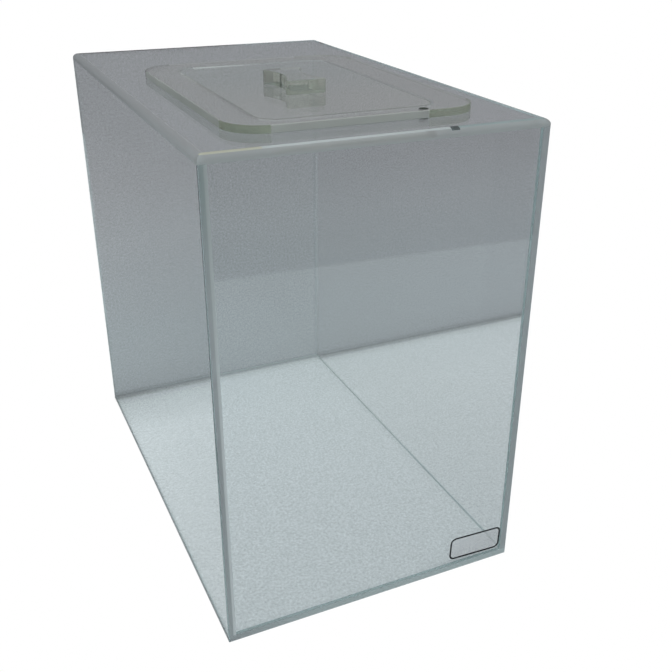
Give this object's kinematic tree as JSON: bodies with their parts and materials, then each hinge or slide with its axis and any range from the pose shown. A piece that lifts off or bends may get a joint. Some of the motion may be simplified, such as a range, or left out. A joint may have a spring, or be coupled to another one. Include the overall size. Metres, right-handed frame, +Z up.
{
  "type": "clear acrylic tank with lift-off lid",
  "caption": "Clear acrylic tank of cemented flat sheets with a rounded access opening in its deck and a loose lid with a scooped grip and a tube hole.",
  "frame": {"origin": "middle of the footprint, on the surface that the tank stands on", "axes": "+X to the right, +Y from the front to the back, +Z up"},
  "size_m": [0.2032, 0.3302, 0.3174],
  "materials": {
    "tank_acrylic": "polished",
    "lid_acrylic": "polished"
  },
  "bodies": {
    "tank": {"base_panel": "tank_acrylic", "front_panel": "tank_acrylic", "back_panel": "tank_acrylic", "left_panel": "tank_acrylic", "right_panel": "tank_acrylic", "top_deck": "tank_acrylic"},
    "lid": {"lid_plate": "lid_acrylic", "lid_locating_plate": "lid_acrylic", "lid_grip": "lid_acrylic"}
  },
  "joints": [
    {"name": "lid_lift", "type": "slide", "parent": "tank", "child": "lid", "axis": [0, 0, 1], "range_m": [0, 0.12]}
  ]
}
